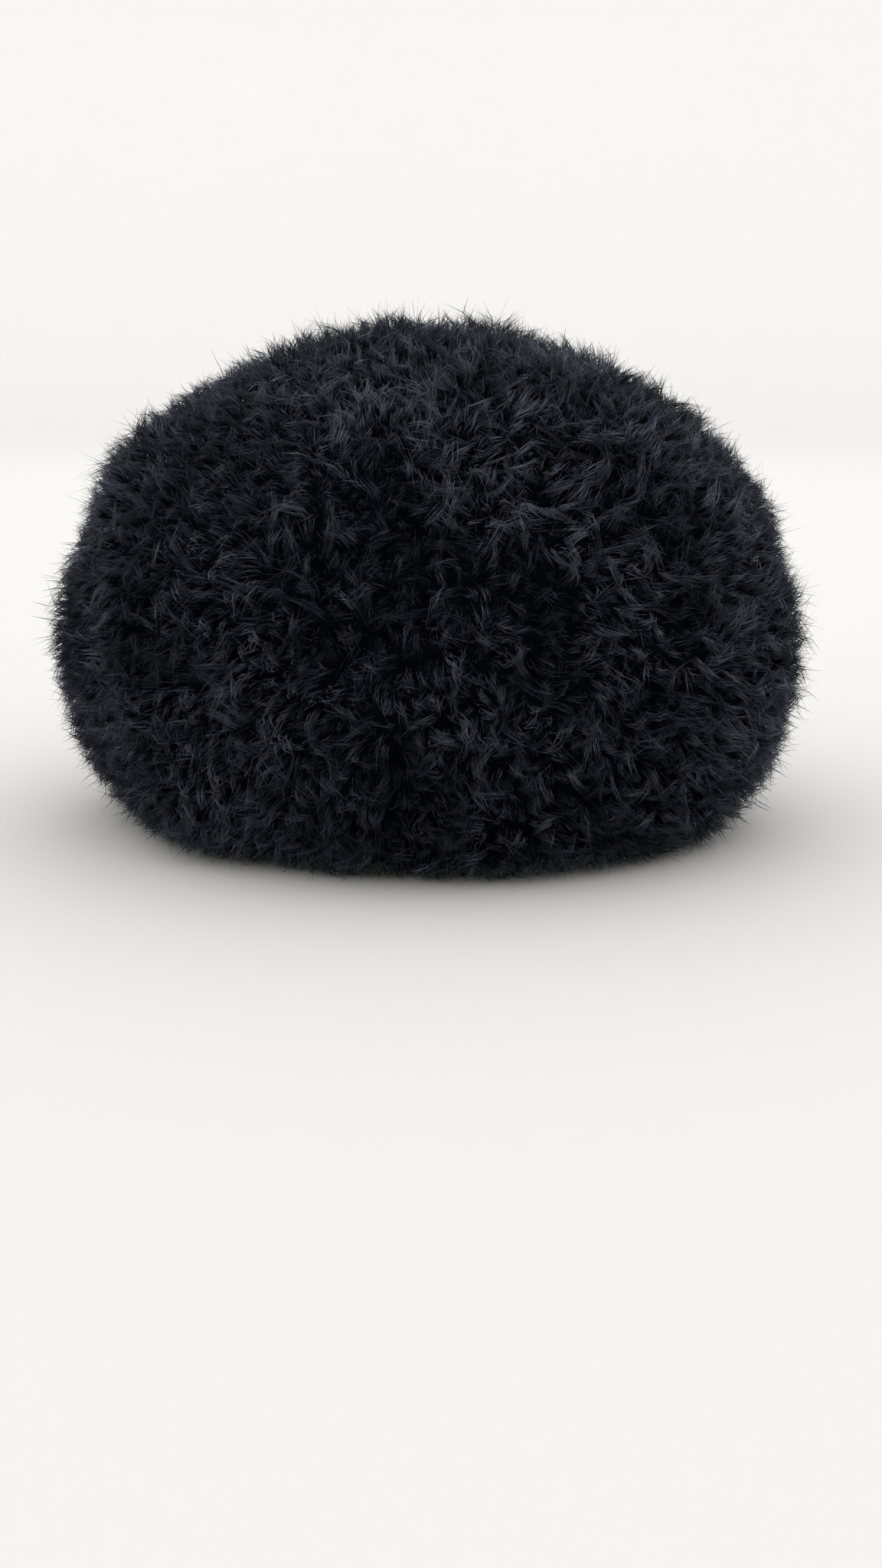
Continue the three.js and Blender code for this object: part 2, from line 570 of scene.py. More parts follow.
def growing_surface(wool_height):
    """The undercoat's outer face in one mesh, with the number of its stretch on each face."""
    rows = undercoat_rows(wool_height)
    mesh = turned("growing_surface", rows, closes=False)
    parting = parting_of(rows)
    stretches = []
    for i in range(len(rows) - 1):
        for k in range(COLUMNS):
            quarter = int((k / COLUMNS * 4 + 0.5) % 4)
            stretch = ("left", "back", "right", "front")[quarter]
            if i >= parting:
                on_left = abs(k - COLUMNS / 2) > COLUMNS / 4
                stretch = "crown_left" if on_left else "crown_right"
            elif i < ROWS_OF_RIM:
                stretch = "rim"
            stretches.append(STRETCHES.index(stretch))
    mesh.attributes.new("stretch", "INT", "FACE").data.foreach_set("value", stretches)
    return mesh


def undercoat_mesh(name, wool_height):
    """One panel's undercoat, which fits over the skin.

    The side's is a closed solid. The crown's is open below, between the parting and the seam."""
    parting_gap = 0.6 * MM
    rows = undercoat_rows(wool_height)
    parting = parting_of(rows)
    if name == "undercoat_side":
        inner = rows_beside_skin(ROWS_INSIDE)
        mesh = turned(name, rows[: parting + 1] + inner[:0:-1], closes=True)
    else:
        raised = []
        for wide, long, height, lump in rows[parting:]:
            raised.append((wide, long, height + parting_gap, lump))
        # The outer rows run up to the axis, and the dome's run down from it
        dome = rows_over_dome(ROWS_INSIDE)
        mesh = turned(name, raised + dome[::-1], closes=False)
    work = bmesh.new()
    work.from_mesh(mesh)
    bmesh.ops.recalc_face_normals(work, faces=work.faces)
    work.to_mesh(mesh)
    work.free()
    return mesh


def strand_mesh():
    """One upright strand, a metre high and two wide: a closed spindle of three sides."""
    belly = 0.52
    places = [(0, 0, 0)]
    for k in range(3):
        turn = math.tau * k / 3
        places.append((math.cos(turn), math.sin(turn), belly))
    places.append((0, 0, 1))
    faces = []
    for k in range(3):
        low = 1 + k
        beside = 1 + (k + 1) % 3
        faces.append((0, beside, low))
        faces.append((low, beside, 4))
    mesh = bpy.data.meshes.new("strand")
    mesh.from_pydata(places, [], faces)
    return mesh


WOOL_INPUTS = (
    ("Strand", "NodeSocketObject"),
    ("Material", "NodeSocketMaterial"),
    ("Stretch", "NodeSocketInt"),
    ("Density", "NodeSocketFloat"),
    ("Spacing", "NodeSocketFloat"),
    ("Length", "NodeSocketFloat"),
    ("Thickness", "NodeSocketFloat"),
    ("Pinch", "NodeSocketFloat"),
    ("Lean", "NodeSocketFloat"),
    ("Seed", "NodeSocketInt"),
)


def node_tree(name, inputs, output):
    """A tree of nodes that takes a geometry and named values, and gives a geometry."""
    tree = bpy.data.node_groups.new(name, "GeometryNodeTree")
    tree.interface.new_socket("Surface", in_out="INPUT", socket_type="NodeSocketGeometry")
    for input_name, kind in inputs:
        tree.interface.new_socket(input_name, in_out="INPUT", socket_type=kind)
    tree.interface.new_socket(output, in_out="OUTPUT", socket_type="NodeSocketGeometry")
    return tree


def wool_tree():
    """Grows strands from a surface, leans and curls them, and gathers them into wisps."""
    tree = node_tree("wool", WOOL_INPUTS, "Wool")
    work = NodeWork(tree)
    given = work.add("NodeGroupInput").outputs

    # The middles of the wisps, and the strands' roots
    scatter = "GeometryNodeDistributePointsOnFaces"
    wisps = work.add(
        scatter,
        {
            "Mesh": given["Surface"],
            "Distance Min": given["Spacing"],
            "Density Max": 200000.0,
            "Seed": given["Seed"],
        },
        distribute_method="POISSON",
    )
    middles = work.stored(
        wisps.outputs["Points"], "facing", wisps.outputs["Normal"], "FLOAT_VECTOR"
    )
    roots = work.add(
        scatter,
        {
            "Mesh": given["Surface"],
            "Density": given["Density"],
            "Seed": work.number("ADD", given["Seed"], 1.0),
        },
        distribute_method="RANDOM",
    )
    here = work.add(
        "FunctionNodeCompare",
        {2: work.attribute("stretch", "INT"), 3: given["Stretch"]},
        data_type="INT",
        operation="EQUAL",
    )
    chosen = work.add(
        "GeometryNodeSeparateGeometry",
        {"Geometry": roots.outputs["Points"], "Selection": here.outputs[0]},
        domain="POINT",
    )
    place = work.add("GeometryNodeInputPosition").outputs[0]
    nearest = work.add(
        "GeometryNodeSampleNearest", {"Geometry": middles}, domain="POINT"
    ).outputs[0]

    def from_wisp(value):
        return work.add(
            "GeometryNodeSampleIndex",
            {"Geometry": middles, "Value": value, "Index": nearest},
            data_type="FLOAT_VECTOR",
            domain="POINT",
        ).outputs[0]

    strands = work.stored(chosen.outputs[0], "root", place, "FLOAT_VECTOR")
    strands = work.stored(strands, "wisp", from_wisp(place), "FLOAT_VECTOR")
    facing = from_wisp(work.attribute("facing", "FLOAT_VECTOR"))
    strands = work.stored(strands, "facing", facing, "FLOAT_VECTOR")
    shape = work.add("GeometryNodeObjectInfo", {"Object": given["Strand"]})
    planted = work.add(
        "GeometryNodeInstanceOnPoints",
        {"Points": strands, "Instance": shape.outputs["Geometry"]},
    )
    grown = work.add("GeometryNodeRealizeInstances", {0: planted.outputs[0]}).outputs[0]

    # What each vertex knows: its strand's root, its wisp's middle and outward direction
    root = work.attribute("root", "FLOAT_VECTOR")
    wisp = work.attribute("wisp", "FLOAT_VECTOR")
    facing = work.attribute("facing", "FLOAT_VECTOR")
    across_x, across_y, along = work.parts(work.vector("SUBTRACT", place, root))
    # Random numbers of its own for each root and wisp, and more for the root from places beside it
    of_root = work.chance(root)
    of_wisp = work.chance(wisp)
    of_strand = work.chance(work.vector("ADD", root, (3.1, 1.7, 0.9)))
    of_start = work.chance(work.vector("ADD", root, (5.3, 2.9, 7.1)))

    # Which way the wisp leans, square to the direction it faces
    away = work.parts(wisp)
    radial = work.joined(away[0], away[1], 0.0)
    facing_down = work.number("MULTIPLY", work.parts(facing)[2], -UNDERSIDE_PULL)
    facing_down = work.number("MAXIMUM", facing_down, 0.0)
    outward_pull = work.number("ADD", facing_down, OUTWARD_PULL)
    radial = work.scaled(work.vector("NORMALIZE", radial), outward_pull)
    seed = work.number("MULTIPLY", given["Seed"], 3.7)
    lean = work.total(
        radial,
        DOWN_PULL,
        work.scaled(work.drift(wisp, WIDE_SWIRL, seed), WIDE_PULL),
        work.scaled(work.drift(wisp, SMALL_SWIRL, seed), SMALL_PULL),
        work.scaled(work.any_way(of_wisp), OWN_PULL),
    )
    through = work.vector("DOT_PRODUCT", lean, facing)
    lean = work.vector("SUBTRACT", lean, work.scaled(facing, through))
    lean = work.vector("NORMALIZE", lean)
    aside = work.vector("CROSS_PRODUCT", facing, lean)

    # How long the strand is, and how far up its wisp this vertex lies
    tuft = work.drift(wisp, TUFT, work.number("ADD", seed, 11.0))
    longer, tighter, limper = work.parts(tuft)
    size = work.number("MULTIPLY_ADD", longer, SIZE_BY_TUFT, SIZE)
    size = work.number("MULTIPLY_ADD", of_wisp[0], SIZE_BY_CHANCE, size)
    size = work.number("MULTIPLY", size, given["Length"])
    share = work.number("POWER", of_root[0], 0.7)
    share = work.number("MULTIPLY_ADD", share, END_BY_CHANCE, END_LEAST)
    stray = work.number("GREATER_THAN", of_root[1], STRAY_ABOVE)
    share = work.number("MULTIPLY_ADD", stray, STRAY_FURTHER, share)
    starts_high = work.number("LESS_THAN", of_start[0], HIGH_START_BELOW)
    start = work.number("MULTIPLY_ADD", of_start[1], START_BY_CHANCE, START_LEAST)
    start = work.number("MULTIPLY", start, work.number("MULTIPLY", starts_high, share))
    t = work.number("MULTIPLY_ADD", along, work.number("SUBTRACT", share, start), start)
    t_squared = work.number("MULTIPLY", t, t)

    # The wisp's middle line: out from the skin, bending over and curling towards its tip
    turn = work.number("MULTIPLY_ADD", of_wisp[1], 2 * CURL, -CURL)
    turn = work.number("MULTIPLY", turn, t)
    curled = work.total(
        work.scaled(lean, work.number("COSINE", turn)),
        work.scaled(aside, work.number("SINE", turn)),
    )
    reach = work.number("MULTIPLY_ADD", of_wisp[2], BEND_BY_CHANCE, BEND_LEAST)
    reach = work.number("MULTIPLY", reach, given["Lean"])
    limpness = work.number("MULTIPLY_ADD", limper, BEND_BY_TUFT, 1.0)
    reach = work.number("MULTIPLY", reach, limpness)
    upright = work.number("MULTIPLY_ADD", stray, -STRAY_UPRIGHT, 1.0)
    reach = work.number("MULTIPLY", reach, upright)
    t_cubed = work.number("MULTIPLY", t_squared, t)
    bend = work.number("MULTIPLY", t_cubed, reach)
    lost = work.number("MULTIPLY_ADD", stray, STRAY_HIGHER, -HEIGHT_LOST)
    loft = work.number("MULTIPLY_ADD", t_cubed, lost, t)
    middle_line = work.total(
        wisp,
        work.scaled(facing, work.number("MULTIPLY", loft, size)),
        work.scaled(curled, work.number("MULTIPLY", bend, size)),
    )

    # The strand beside it, closing up towards the tip unless it strays
    closing = work.number("POWER", t, 1.2)
    pinch = work.number("MULTIPLY_ADD", stray, -STRAY_OPENER, 1.0)
    pinch = work.number("MULTIPLY", pinch, given["Pinch"])
    tightness = work.number("MULTIPLY_ADD", tighter, TIGHTER_BY_TUFT, 1.0)
    pinch = work.number("MULTIPLY", pinch, tightness)
    apart = work.number("SUBTRACT", 1.0, work.number("MULTIPLY", closing, pinch))
    offset = work.scaled(work.vector("SUBTRACT", root, wisp), apart)
    waver = work.any_way(of_strand)
    loose = work.number("MULTIPLY_ADD", stray, STRAY_WAVER, WAVER)
    loose = work.number("MULTIPLY", loose, work.number("MULTIPLY", t_squared, size))
    line = work.total(middle_line, offset, work.scaled(waver, loose))

    # The strand's round, square to the slope of the middle line
    rising = work.number("MULTIPLY_ADD", t_squared, -3 * HEIGHT_LOST, 1.0)
    bending = work.number("MULTIPLY", t_squared, work.number("MULTIPLY", reach, 3.0))
    run = work.total(work.scaled(facing, rising), work.scaled(curled, bending))
    side = work.vector("NORMALIZE", work.vector("CROSS_PRODUCT", run, waver))
    over = work.vector("NORMALIZE", work.vector("CROSS_PRODUCT", run, side))
    # Half the strand's thickness, by chance and more for the shorter strands
    half = work.number("MULTIPLY_ADD", of_root[2], 0.5, 0.25)
    half = work.number("MULTIPLY", half, work.number("MULTIPLY_ADD", share, -2.4, 3.4))
    half = work.number("MULTIPLY", half, given["Thickness"])
    placed = work.total(
        line,
        work.scaled(side, work.number("MULTIPLY", across_x, half)),
        work.scaled(over, work.number("MULTIPLY", across_y, half)),
    )
    # No strand goes into the floor
    x, y, z = work.parts(placed)
    least = work.number("MULTIPLY_ADD", of_root[2], 1.6 * MM, 0.4 * MM)
    placed = work.joined(x, y, work.number("MAXIMUM", z, least))

    # Kept for the material: how far out of the wool, which sets the painted shade deep down, and
    # how light this strand is
    # Rare bright wisps stand in for highlights: painted highlight over each strand's own random
    # tone
    wisp_tone_and_highlight = work.number("POWER", of_wisp[1], 3.5)
    own_tone = work.number("MULTIPLY", of_strand[2], 0.25)
    tone = work.number("MULTIPLY_ADD", wisp_tone_and_highlight, 0.75, own_tone)
    grown = work.stored(grown, "depth", t, "FLOAT")
    grown = work.stored(grown, "tone", tone, "FLOAT")
    settled = work.add("GeometryNodeSetPosition", {"Geometry": grown, "Position": placed})
    tone_across = work.attribute("tone", "FLOAT")
    depth_up = work.attribute("depth", "FLOAT")
    chart = work.joined(tone_across, depth_up, 0.0)
    charted = work.stored(settled.outputs[0], "OFBake", chart, "FLOAT2", "CORNER")
    smooth = work.add("GeometryNodeSetShadeSmooth", {"Geometry": charted})
    coloured = work.add(
        "GeometryNodeSetMaterial",
        {"Geometry": smooth.outputs[0], "Material": given["Material"]},
    )
    work.add("NodeGroupOutput", {0: coloured.outputs[0]})
    return tree


def grown_mesh(name, surface, tree, values):
    """The plain mesh that a tree of nodes makes from a surface, without its working attributes."""
    source = bpy.data.objects.new(name, surface)
    bpy.context.scene.collection.objects.link(source)
    modifier = source.modifiers.new("grow", "NODES")
    modifier.node_group = tree
    for socket in tree.interface.items_tree:
        if socket.in_out == "INPUT" and socket.name in values:
            modifier[socket.identifier] = values[socket.name]
    bpy.context.view_layer.update()
    depsgraph = bpy.context.evaluated_depsgraph_get()
    mesh = bpy.data.meshes.new_from_object(
        source.evaluated_get(depsgraph),
        preserve_all_data_layers=True,
        depsgraph=depsgraph,
    )
    bpy.data.objects.remove(source)
    for used in ("root", "wisp", "facing", "stretch", "id"):
        if used in mesh.attributes:
            mesh.attributes.remove(mesh.attributes[used])
    mesh.name = name
    return mesh


def shown(name, mesh):
    """A new object of the scene that carries a mesh."""
    piece = bpy.data.objects.new(name, mesh)
    bpy.context.scene.collection.objects.link(piece)
    return piece


def kept(piece, slot, *nodes):
    """Tells the frame that a piece rides on the hat, and hides the nodes it stands for. The slot is
    not used.
    """
    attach(piece, "root")
    if nodes:
        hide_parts(*nodes)


def mottle_group():
    """Soft patches over the surface, as a mask about one half and as a height for bumps."""
    name = "mottle"
    if name in bpy.data.node_groups:
        return bpy.data.node_groups[name]
    group = bpy.data.node_groups.new(name, "ShaderNodeTree")
    number = "NodeSocketFloat"
    for input_name in ("Size", "Contrast", "Detail"):
        group.interface.new_socket(input_name, in_out="INPUT", socket_type=number)
    for output_name in ("Mask", "Height"):
        group.interface.new_socket(output_name, in_out="OUTPUT", socket_type=number)
    work = NodeWork(group)
    given = work.add("NodeGroupInput").outputs
    place = work.add("ShaderNodeTexCoord").outputs["Object"]
    patches = work.add(
        "ShaderNodeTexNoise",
        {
            "Vector": place,
            "Scale": work.number("DIVIDE", 1.0, given["Size"]),
            "Detail": given["Detail"],
        },
    ).outputs["Fac"]
    centred = work.number("SUBTRACT", patches, 0.5)
    mask = work.number("MULTIPLY_ADD", centred, given["Contrast"], 0.5)
    mask = work.add("ShaderNodeClamp", {0: mask}).outputs[0]
    work.add("NodeGroupOutput", {"Mask": mask, "Height": patches})
    return group


def mottled(work, size, contrast, detail):
    """The mottle group, placed in a material with its own values."""
    made = work.add("ShaderNodeGroup", node_tree=mottle_group())
    made.inputs["Size"].default_value = size
    made.inputs["Contrast"].default_value = contrast
    made.inputs["Detail"].default_value = detail
    return made.outputs


def new_material(name):
    """A material, the helper that adds nodes to it, and its shader."""
    material = bpy.data.materials.new(name)
    material.use_nodes = True
    shader = material.node_tree.nodes["Principled BSDF"]
    return material, NodeWork(material.node_tree), shader


def mixed(work, share, first, second):
    """A colour between two others."""
    made = work.add(
        "ShaderNodeMix",
        {"Factor": share, 6: (*first, 1.0), 7: (*second, 1.0)},
        data_type="RGBA",
    )
    return made.outputs[2]


def wool_material(wool):
    """Black wool: navy grey at the tips, near black deep down as painted shade, lighter and darker
    in patches that are partly its own random tone and partly painted highlight and shade.
    """
    material, work, shader = new_material("navy_black_wool")
    depth = work.add("ShaderNodeAttribute", attribute_name="depth").outputs["Fac"]
    tone = work.add("ShaderNodeAttribute", attribute_name="tone").outputs["Fac"]
    # Darker deeper in the wool, from the tip colour to the root colour: painted shade
    share = work.add("ShaderNodeClamp", {0: work.number("POWER", depth, 1.7)}).outputs[0]
    colour = mixed(work, share, wool.root_shade_colour, wool.tip_colour)
    # Small patches and large zones, lighter and darker at random: painted highlight and painted
    # shade
    patches = mottled(work, size=9 * MM, contrast=2.6, detail=2.0)["Mask"]
    light_and_shade_zones = mottled(work, size=55 * MM, contrast=3.4, detail=1.0)["Mask"]
    # How light the strand is, partly painted highlight and shade: by its own tone, then by its
    # patch and its zone, up to a limit
    light = work.number("MULTIPLY_ADD", tone, 2.2, 0.2)
    light = work.number("MULTIPLY", light, work.number("MULTIPLY_ADD", patches, 1.0, 0.5))
    light = work.number("MULTIPLY", light, work.number("MULTIPLY_ADD", light_and_shade_zones, 0.9, 0.55))
    light = work.number("MINIMUM", light, 2.4)
    work.tree.links.new(work.scaled(colour, light), shader.inputs["Base Color"])
    shader.inputs["Roughness"].default_value = 0.5
    shader.inputs["Specular IOR Level"].default_value = 0.1
    shader.inputs["Specular Tint"].default_value = (0.6, 0.78, 1.0, 1.0)
    return material


def undercoat_material(wool):
    """The dense dark down under the strands, near black in the root colour as painted shade deep in
    the wool, lighter and darker in random patches.
    """
    material, work, shader = new_material("wool_undercoat")
    patches = mottled(work, size=6 * MM, contrast=3.0, detail=4.0)
    # The root colour's near black is painted shade; the patches are the down's own random tone
    painted_deep_shade = wool.root_shade_colour
    colour = mixed(work, patches["Mask"], painted_deep_shade, [c * 2.5 for c in painted_deep_shade])
    work.tree.links.new(colour, shader.inputs["Base Color"])
    down = mottled(work, size=1.2 * MM, contrast=1.0, detail=3.0)["Height"]
    bump = work.add("ShaderNodeBump", {"Strength": 0.8, "Distance": 1.5 * MM, "Height": down})
    work.tree.links.new(bump.outputs[0], shader.inputs["Normal"])
    shader.inputs["Roughness"].default_value = 1.0
    shader.inputs["Specular IOR Level"].default_value = 0.0
    return material


def suede_material(skin):
    """Dark suede: a short nap that lies lighter and darker in patches, with fine creases."""
    material, work, shader = new_material("sheepskin_suede")
    patches = mottled(work, size=26 * MM, contrast=2.4, detail=3.0)["Mask"]
    nap = mottled(work, size=1.4 * MM, contrast=1.8, detail=4.0)
    creases = mottled(work, size=9 * MM, contrast=1.0, detail=6.0)["Height"]
    share = work.number("MULTIPLY", nap["Mask"], 0.4)
    share = work.number("MULTIPLY_ADD", patches, 0.6, share)
    dark = [c * 0.55 for c in skin.colour]
    light = [min(c * 1.6, 1.0) for c in skin.colour]
    work.tree.links.new(mixed(work, share, dark, light), shader.inputs["Base Color"])
    rough = work.number("MULTIPLY_ADD", nap["Mask"], 0.16, 0.8)
    work.tree.links.new(rough, shader.inputs["Roughness"])
    height = work.number("MULTIPLY", nap["Height"], 0.5)
    height = work.number("MULTIPLY_ADD", creases, 1.6, height)
    bump = work.add("ShaderNodeBump", {"Strength": 0.5, "Distance": 0.6 * MM, "Height": height})
    work.tree.links.new(bump.outputs[0], shader.inputs["Normal"])
    shader.inputs["Specular IOR Level"].default_value = 0.25
    shader.inputs["Sheen Weight"].default_value = 0.25
    shader.inputs["Sheen Roughness"].default_value = 0.5
    return material


def thread_material(skin):
    """Waxed thread of two plies, with the twist as a bump along each stitch."""
    material, work, shader = new_material("seam_thread")
    along = work.add("ShaderNodeAttribute", attribute_name="along").outputs["Fac"]
    around = work.add("ShaderNodeAttribute", attribute_name="around").outputs["Fac"]
    twist = work.number("MULTIPLY_ADD", along, 4.0, work.number("MULTIPLY", around, 2.0))
    plies = work.number("SINE", work.number("MULTIPLY", twist, math.tau))
    bump = work.add("ShaderNodeBump", {"Strength": 0.7, "Distance": 0.25 * MM, "Height": plies})
    work.tree.links.new(bump.outputs[0], shader.inputs["Normal"])
    shade = mottled(work, size=3 * MM, contrast=2.0, detail=2.0)["Mask"]
    dark = [c * 0.6 for c in skin.thread_colour]
    work.tree.links.new(mixed(work, shade, dark, skin.thread_colour), shader.inputs["Base Color"])
    shader.inputs["Roughness"].default_value = 0.6
    return material


class TELPEK_OT_lay_undercoat(bpy.types.Operator):
    """Lays the dense undercoat of each panel over its skin"""

    bl_idname = "telpek.lay_undercoat"
    bl_label = "Lay undercoat"

    def execute(self, context):
        wool = context.scene.telpek_wool
        material = undercoat_material(wool)
        for name, node in (
            ("undercoat_side", "side_fleece"),
            ("undercoat_crown", "crown_fleece"),
        ):
            mesh = undercoat_mesh(name, wool.height)
            mesh.materials.append(material)
            kept(shown(name, mesh), "black_wool", node)
        return {"FINISHED"}


class TELPEK_OT_grow_wool(bpy.types.Operator):
    """Grows the wool of each stretch of the hat"""

    bl_idname = "telpek.grow_wool"
    bl_label = "Grow wool"

    def execute(self, context):
        wool = context.scene.telpek_wool
        surface = growing_surface(wool.height)
        material = wool_material(wool)
        strand = shown("strand", strand_mesh())
        strand.data.materials.append(material)
        tree = wool_tree()
        for number, stretch in enumerate(STRETCHES):
            values = {
                "Strand": strand,
                "Material": material,
                "Stretch": number,
                "Density": wool.density * (wool.rim_share if stretch == "rim" else 1),
                "Spacing": wool.spacing,
                "Length": wool.length,
                "Thickness": wool.thickness,
                "Pinch": wool.pinch,
                "Lean": wool.lean,
                "Seed": wool.seed,
            }
            mesh = grown_mesh("wool_" + stretch, surface, tree, values)
            node = "crown_fleece" if stretch.startswith("crown") else "side_fleece"
            kept(shown(mesh.name, mesh), "black_wool", node)
        bpy.data.objects.remove(strand)
        bpy.data.meshes.remove(surface)
        return {"FINISHED"}


class TELPEK_OT_finish_skins(bpy.types.Operator):
    """Gives the two panels of skin their suede"""

    bl_idname = "telpek.finish_skins"
    bl_label = "Finish skins"

    def execute(self, context):
        material = suede_material(context.scene.telpek_skin)
        for name in ("side_skin", "crown_skin"):
            mesh_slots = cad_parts[name].material_slots
            if not len(mesh_slots):
                raise RuntimeError(name + " has no material slot to finish")
            for mesh_slot in mesh_slots:
                mesh_slot.material = material
        return {"FINISHED"}


# How far a stitch leans along the seam, as a share of its length
STITCH_SLANT = 0.45

STITCH_INPUTS = (
    ("Stitch", "NodeSocketObject"),
    ("Material", "NodeSocketMaterial"),
    ("Spacing", "NodeSocketFloat"),
    ("Slant", "NodeSocketFloat"),
)


def stitch_mesh(length, thickness):
    """One upright stitch, bowed out in the middle and sunk into the skin at both ends."""
    rings = 6
    sides = 6
    places = []
    along = []
    around = []
    for i in range(rings + 1):
        share = i / rings
        height = (share - 0.5) * length
        bow = thickness * 0.55 * (1 - (2 * share - 1) ** 2) - thickness * 0.35
        radius = thickness / 2 * (0.55 + 0.45 * math.sin(math.pi * share))
        for k in range(sides):
            turn = math.tau * k / sides
            places.append((bow + radius * math.cos(turn), radius * math.sin(turn), height))
            along.append(share)
            around.append(k / sides)
    faces = [tuple(reversed(range(sides)))]
    for i in range(rings):
        for k in range(sides):
            near = i * sides + k
            beside = i * sides + (k + 1) % sides
            faces.append((near, beside, beside + sides, near + sides))
    faces.append(tuple(range(rings * sides, (rings + 1) * sides)))
    mesh = bpy.data.meshes.new("stitch")
    mesh.from_pydata(places, [], faces)
    mesh.attributes.new("along", "FLOAT", "POINT").data.foreach_set("value", along)
    mesh.attributes.new("around", "FLOAT", "POINT").data.foreach_set("value", around)
    mesh.shade_smooth()
    return mesh


def seam_path():
    """The closed line of edges inside the seam, where the two panels meet."""
    inner = SKIN_REACH - SKIN_WALL
    radius = SKIN_OUTLINE[-1][0] * inner
    longer = SKIN_EXTRA * radius / inner
    height = (SKIN_HIGH.z + DOME_LOW.z) / 2
    steps = 288
    places = []
    for k in range(steps):
        turn = math.tau * k / steps
        x = AXIS.x + radius * math.cos(turn)
        y = AXIS.y + (radius + longer) * math.sin(turn)
        places.append((x, y, height))
    edges = [(k, (k + 1) % steps) for k in range(steps)]
    mesh = bpy.data.meshes.new("seam_path")
    mesh.from_pydata(places, edges, [])
    return mesh


def stitch_tree():
    """Sets stitches evenly along a line of edges, slanting, each facing the middle of the hat."""
    tree = node_tree("stitches", STITCH_INPUTS, "Stitches")
    work = NodeWork(tree)
    given = work.add("NodeGroupInput").outputs
    curve = work.add("GeometryNodeMeshToCurve", {"Mesh": given["Surface"]})
    spread = work.add(
        "GeometryNodeCurveToPoints",
        {"Curve": curve.outputs[0], "Length": given["Spacing"]},
        mode="LENGTH",
    )
    run = spread.outputs["Tangent"]
    inward = work.vector("CROSS_PRODUCT", (0.0, 0.0, 1.0), run)
    upright = work.total((0.0, 0.0, 1.0), work.scaled(run, given["Slant"]))
    turned_in = work.add(
        "FunctionNodeAxesToRotation",
        {"Primary Axis": upright, "Secondary Axis": inward},
        primary_axis="Z",
        secondary_axis="X",
    )
    shape = work.add("GeometryNodeObjectInfo", {"Object": given["Stitch"]})
    set_in = work.add(
        "GeometryNodeInstanceOnPoints",
        {
            "Points": spread.outputs["Points"],
            "Instance": shape.outputs["Geometry"],
            "Rotation": turned_in.outputs[0],
        },
    )
    made = work.add("GeometryNodeRealizeInstances", {0: set_in.outputs[0]})
    coloured = work.add(
        "GeometryNodeSetMaterial",
        {"Geometry": made.outputs[0], "Material": given["Material"]},
    )
    work.add("NodeGroupOutput", {0: coloured.outputs[0]})
    return tree


class TELPEK_OT_sew_seam(bpy.types.Operator):
    """Sews the crown panel to the side panel with a ring of slanting stitches"""

    bl_idname = "telpek.sew_seam"
    bl_label = "Sew seam"

    def execute(self, context):
        skin = context.scene.telpek_skin
        stitch = shown("stitch", stitch_mesh(skin.stitch_length, skin.thread_thickness))
        material = thread_material(skin)
        stitch.data.materials.append(material)
        values = {
            "Stitch": stitch,
            "Material": material,
            "Spacing": skin.stitch_spacing,
            "Slant": STITCH_SLANT,
        }
        mesh = grown_mesh("seam_stitches", seam_path(), stitch_tree(), values)
        kept(shown("seam_stitches", mesh), "black_wool")
        bpy.data.objects.remove(stitch)
        return {"FINISHED"}


def backdrop_mesh(reach):
    """A round floor that bends up into a wall all round."""
    columns = 96
    steps = 16
    bend = reach * 0.35
    wall_top = reach * 0.54
    profile = [(0.0, 0.0), (reach - bend, 0.0)]
    for i in range(1, steps + 1):
        turn = math.pi / 2 * i / steps
        profile.append((reach - bend + bend * math.sin(turn), bend - bend * math.cos(turn)))
    profile.append((reach, wall_top))
    places = [(0, 0, 0)]
    for radius, height in profile[1:]:
        for k in range(columns):
            turn = math.tau * k / columns
            places.append((radius * math.cos(turn), radius * math.sin(turn), height))
    faces = []
    for k in range(columns):
        faces.append((0, 1 + k, 1 + (k + 1) % columns))
    for i in range(len(profile) - 2):
        for k in range(columns):
            near = 1 + i * columns + k
            beside = 1 + i * columns + (k + 1) % columns
            faces.append((near, near + columns, beside + columns, beside))
    mesh = bpy.data.meshes.new("floor")
    mesh.from_pydata(places, [], faces)
    mesh.shade_smooth()
    return mesh


def floor_material(stage):
    """Pale matte paper, lighter towards the wall, with a faint unevenness."""
    material, work, shader = new_material("pale_floor")
    lighter_from = 2.6
    lighter_over = 1.8
    place = work.add("ShaderNodeTexCoord").outputs["Object"]
    far = work.add("ShaderNodeVectorMath", {0: place}, operation="LENGTH").outputs["Value"]
    share = work.number("DIVIDE", work.number("SUBTRACT", far, lighter_from), lighter_over)
    patches = mottled(work, size=0.9, contrast=0.1, detail=2.0)["Mask"]
    share = work.number("ADD", share, work.number("SUBTRACT", patches, 0.5))
    share = work.add("ShaderNodeClamp", {0: share}).outputs[0]
    colour = mixed(work, share, stage.floor_colour, stage.wall_colour)
    work.tree.links.new(colour, shader.inputs["Base Color"])
    shader.inputs["Roughness"].default_value = 0.95
    shader.inputs["Specular IOR Level"].default_value = 0.1
    return material


def set_light(name, place, size, power):
    """A broad square light aimed at the hat, itself unseen."""
    light = bpy.data.lights.new(name, "AREA")
    light.size = size
    light.energy = power
    lamp = bpy.data.objects.new(name, light)
    lamp.location = place
    aim = Vector((0, 0, HEIGHT / 2)) - Vector(place)
    lamp.rotation_euler = aim.to_track_quat("-Z", "Y").to_euler()
    lamp.visible_camera = False
    bpy.context.scene.collection.objects.link(lamp)


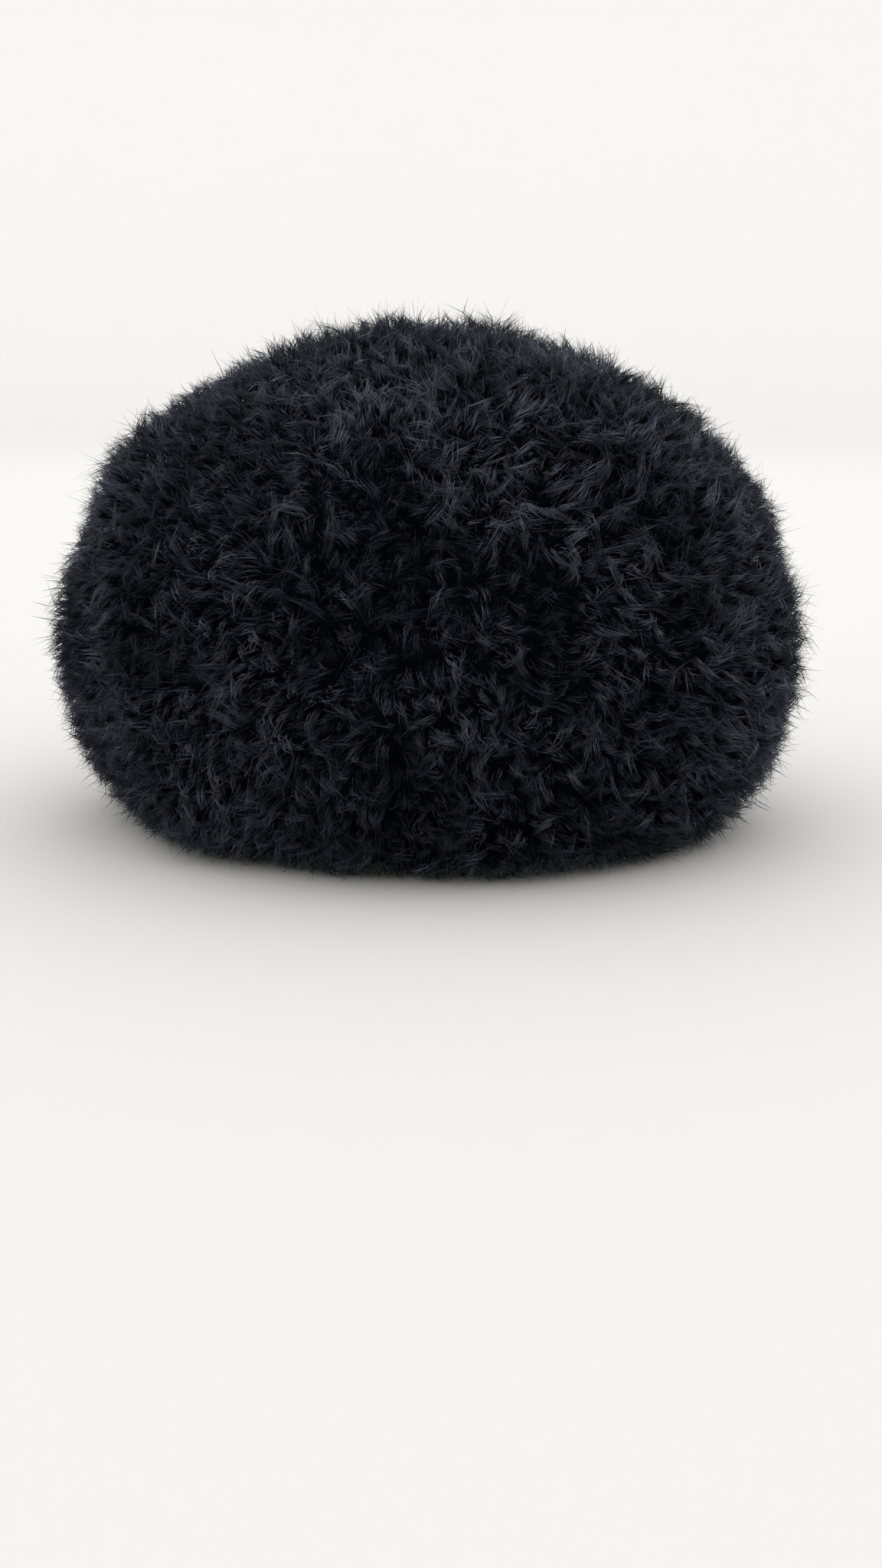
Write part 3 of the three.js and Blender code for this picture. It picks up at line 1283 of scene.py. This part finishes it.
def set_camera(stage):
    """The camera at the photo's angle, with the hat as large and as high in the frame.

    The hat is hat_across metres wide as this camera sees it. The shares are those of the photo's
    width and height, and the sensor is as long as the picture is high, in millimetres."""
    sensor = 36
    hat_across = 0.356
    hat_share = 955 / 1125
    hat_from_left = 0.48
    hat_from_top = 0.3625
    middle = Vector((0, 0, HEIGHT / 2))
    flat = math.cos(stage.elevation)
    back = Vector(
        (
            math.sin(stage.azimuth) * flat,
            -math.cos(stage.azimuth) * flat,
            math.sin(stage.elevation),
        )
    )
    camera_data = bpy.data.cameras.new("camera")
    camera = bpy.data.objects.new("camera", camera_data)
    bpy.context.scene.collection.objects.link(camera)
    camera.location = middle + back * stage.distance
    view_width = hat_across / hat_share
    view_height = view_width * IMAGE_HEIGHT / IMAGE_WIDTH
    camera_data.sensor_width = sensor
    camera_data.lens = sensor * stage.distance / view_height
    right = Vector((0, 0, 1)).cross(back).normalized()
    up = back.cross(right)
    aim = middle + right * (0.5 - hat_from_left) * view_width
    aim -= up * (0.5 - hat_from_top) * view_height
    camera.rotation_euler = (camera.location - aim).to_track_quat("Z", "Y").to_euler()
    bpy.context.scene.camera = camera


class TELPEK_OT_set_stage(bpy.types.Operator):
    """Makes the floor with its backdrop, the lights and the camera"""

    bl_idname = "telpek.set_stage"
    bl_label = "Set stage"

    def execute(self, context):
        stage = context.scene.telpek_stage
        mesh = backdrop_mesh(stage.backdrop_radius)
        mesh.materials.append(floor_material(stage))
        shown("floor", mesh)
        world = bpy.data.worlds.new("studio")
        world.use_nodes = True
        background = world.node_tree.nodes["Background"]
        background.inputs["Color"].default_value = (1.0, 0.996, 0.985, 1.0)
        background.inputs["Strength"].default_value = stage.sky_strength
        context.scene.world = world
        set_light("top_light", place=(0.5, 0.35, 2.4), size=2.2, power=stage.top_power)
        set_light("back_light", place=(1.7, 1.3, 1.6), size=1.4, power=stage.back_power)
        set_camera(stage)
        context.scene.view_settings.view_transform = "Standard"
        return {"FINISHED"}


class TELPEK_PT_panel(bpy.types.Panel):
    """Lists the steps in the sidebar"""

    bl_idname = "TELPEK_PT_panel"
    bl_label = "Telpek"
    bl_space_type = "VIEW_3D"
    bl_region_type = "UI"
    bl_category = "Telpek"

    def draw(self, context):
        for operator in OPERATORS:
            self.layout.operator(operator.bl_idname)


OPERATORS = (
    TELPEK_OT_lay_undercoat,
    TELPEK_OT_grow_wool,
    TELPEK_OT_finish_skins,
    TELPEK_OT_sew_seam,
    TELPEK_OT_set_stage,
)
CLASSES = (TelpekWool, TelpekSkin, TelpekStage, *OPERATORS, TELPEK_PT_panel)


def register():
    for kind in CLASSES:
        bpy.utils.register_class(kind)
    bpy.types.Scene.telpek_wool = PointerProperty(type=TelpekWool)
    bpy.types.Scene.telpek_skin = PointerProperty(type=TelpekSkin)
    bpy.types.Scene.telpek_stage = PointerProperty(type=TelpekStage)


def unregister():
    del bpy.types.Scene.telpek_stage
    del bpy.types.Scene.telpek_skin
    del bpy.types.Scene.telpek_wool
    for kind in reversed(CLASSES):
        bpy.utils.unregister_class(kind)


def main():
    register()
    bpy.ops.telpek.lay_undercoat()
    bpy.ops.telpek.grow_wool()
    bpy.ops.telpek.finish_skins()
    bpy.ops.telpek.sew_seam()
    bpy.ops.telpek.set_stage()


if __name__ == "__main__":
    main()
